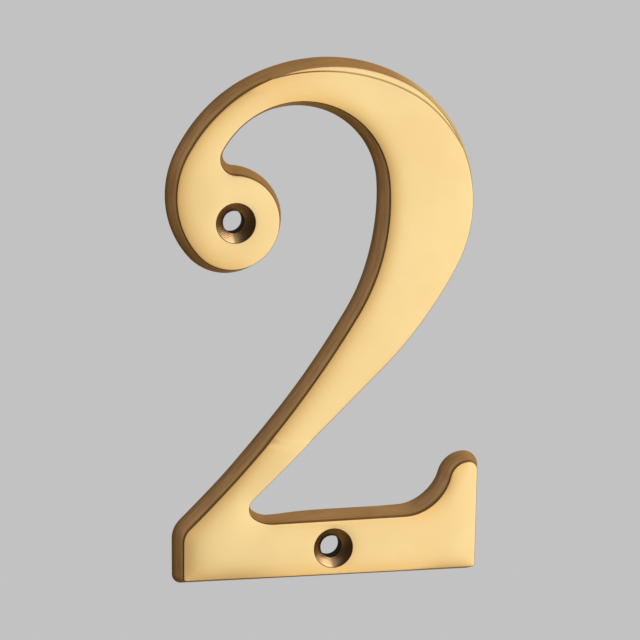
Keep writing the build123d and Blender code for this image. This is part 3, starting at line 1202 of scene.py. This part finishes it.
def rectangle(name, wide, high, where, material):
    """A flat mesh of one face."""
    mesh = bpy.data.meshes.new(name)
    x, y = wide / 2, high / 2
    mesh.from_pydata([(-x, -y, 0.0), (x, -y, 0.0), (x, y, 0.0), (-x, y, 0.0)], [], [(0, 1, 2, 3)])
    mesh.transform(where)
    mesh.materials.append(material)
    return mesh


def toward(across, above, distance):
    """Place of a lamp or card at a distance from the numeral, facing it, at angles from the face's normal."""
    a, e = math.radians(across), math.radians(above)
    way = Vector((math.sin(a) * math.cos(e), -math.cos(a) * math.cos(e), math.sin(e)))
    turn = way.to_track_quat("Z", "Y").to_matrix().to_4x4()
    return Matrix.Translation(AIM + way * distance) @ turn


def softbox(name, across, above, distance, wide, high, radiance, roll):
    """A rectangular area lamp that shows at a set brightness in the brass, on top of the backdrop."""
    lamp = bpy.data.lights.new(name, "AREA")
    lamp.shape = "RECTANGLE"
    lamp.size, lamp.size_y = wide, high
    lamp.energy = radiance * 4.0 * wide * high
    made = bpy.data.objects.new(name, lamp)
    made.matrix_world = toward(across, above, distance) @ Matrix.Rotation(math.radians(roll), 4, "Z")
    made.visible_camera = False
    bpy.context.scene.collection.objects.link(made)


def dark_card(name, across, above, distance, wide, high, shade):
    """A dark studio card that only the brass sees."""
    material = bpy.data.materials.new(name)
    material.use_nodes = True
    shader = material.node_tree.nodes["Principled BSDF"]
    fill(shader, {"Base Color": (*shade, 1.0), "Roughness": 1.0, "Specular IOR Level": 0.0})
    mesh = rectangle(name, wide, high, toward(across, above, distance), material)
    made = bpy.data.objects.new(name, mesh)
    made.visible_camera = False
    made.visible_diffuse = False
    made.visible_shadow = False
    bpy.context.scene.collection.objects.link(made)


class HOUSENUMBER_OT_stage(bpy.types.Operator):
    """Set up the pale floor, the soft studio lights and the camera"""

    bl_idname = "house_number.stage"
    bl_label = "Build Stage"

    def execute(self, context):
        scene = context.scene
        s = scene.numeral_studio
        pale = (*s.backdrop, 1.0)
        matt = ("ShaderNodeBsdfDiffuse", {"Color": pale})
        glow = ("ShaderNodeEmission", {"Color": pale, "Strength": FLOOR_GLOW})
        look = bpy.data.materials.new("pale_floor")
        two_looks(look, "ShaderNodeOutputMaterial", matt, glow, FLOOR_SEEN)
        under = Matrix.Translation((0.0, 0.0, -s.floor_drop))
        mesh = rectangle("pale_floor", FLOOR_WIDTH, FLOOR_WIDTH, under, look)
        floor = bpy.data.objects.new("pale_floor", mesh)
        scene.collection.objects.link(floor)
        soft = ("ShaderNodeBackground", {"Color": WHITE, "Strength": AMBIENT})
        plain = ("ShaderNodeBackground", {"Color": pale, "Strength": 1.0})
        scene.world = two_looks(bpy.data.worlds.new("studio"), "ShaderNodeOutputWorld", soft, plain)
        for row in SOFTBOXES:
            softbox(*row)
        for row in DARK_CARDS:
            dark_card(*row)

        a, e, roll = s.camera_across, s.camera_above, s.camera_roll
        ahead = Vector((math.sin(a) * math.cos(e), math.cos(a) * math.cos(e), -math.sin(e)))
        level = Vector((math.cos(a), -math.sin(a), 0.0))
        rise = level.cross(ahead)
        right = level * math.cos(roll) - rise * math.sin(roll)
        up = level * math.sin(roll) + rise * math.cos(roll)
        aim = Vector((s.aim_across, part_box("numeral")[0][1], s.aim_up))
        data = bpy.data.cameras.new("photo_camera")
        data.sensor_width = SENSOR_WIDTH
        data.lens = s.lens
        data.clip_start, data.clip_end = CLIP_RANGE
        camera = bpy.data.objects.new("photo_camera", data)
        turn = Matrix((right, up, -ahead)).transposed().to_4x4()
        camera.matrix_world = Matrix.Translation(aim - ahead * s.camera_distance) @ turn
        scene.collection.objects.link(camera)
        scene.camera = camera
        scene.view_settings.view_transform = "Standard"
        return {"FINISHED"}


class HOUSENUMBER_PT_panel(bpy.types.Panel):
    """House number tools"""

    bl_idname = "HOUSENUMBER_PT_panel"
    bl_label = "House Number"
    bl_space_type = "VIEW_3D"
    bl_region_type = "UI"
    bl_category = "House Number"

    def draw(self, context):
        layout = self.layout
        layout.operator(HOUSENUMBER_OT_numeral.bl_idname)
        layout.operator(HOUSENUMBER_OT_stage.bl_idname)
        scene = context.scene
        for group in (scene.numeral_sizes, scene.numeral_finish, scene.numeral_studio):
            box = layout.box()
            for name in group.__annotations__:
                box.prop(group, name)


CLASSES = (
    NumeralSizes, NumeralFinish, StudioSettings,
    HOUSENUMBER_OT_numeral, HOUSENUMBER_OT_stage, HOUSENUMBER_PT_panel,
)


def register():
    for each in CLASSES:
        bpy.utils.register_class(each)
    bpy.types.Scene.numeral_sizes = bpy.props.PointerProperty(type=NumeralSizes)
    bpy.types.Scene.numeral_finish = bpy.props.PointerProperty(type=NumeralFinish)
    bpy.types.Scene.numeral_studio = bpy.props.PointerProperty(type=StudioSettings)


def unregister():
    del bpy.types.Scene.numeral_studio
    del bpy.types.Scene.numeral_finish
    del bpy.types.Scene.numeral_sizes
    for each in reversed(CLASSES):
        bpy.utils.unregister_class(each)


def main():
    register()
    bpy.ops.house_number.numeral()
    bpy.ops.house_number.stage()


if __name__ == "__main__":
    main()
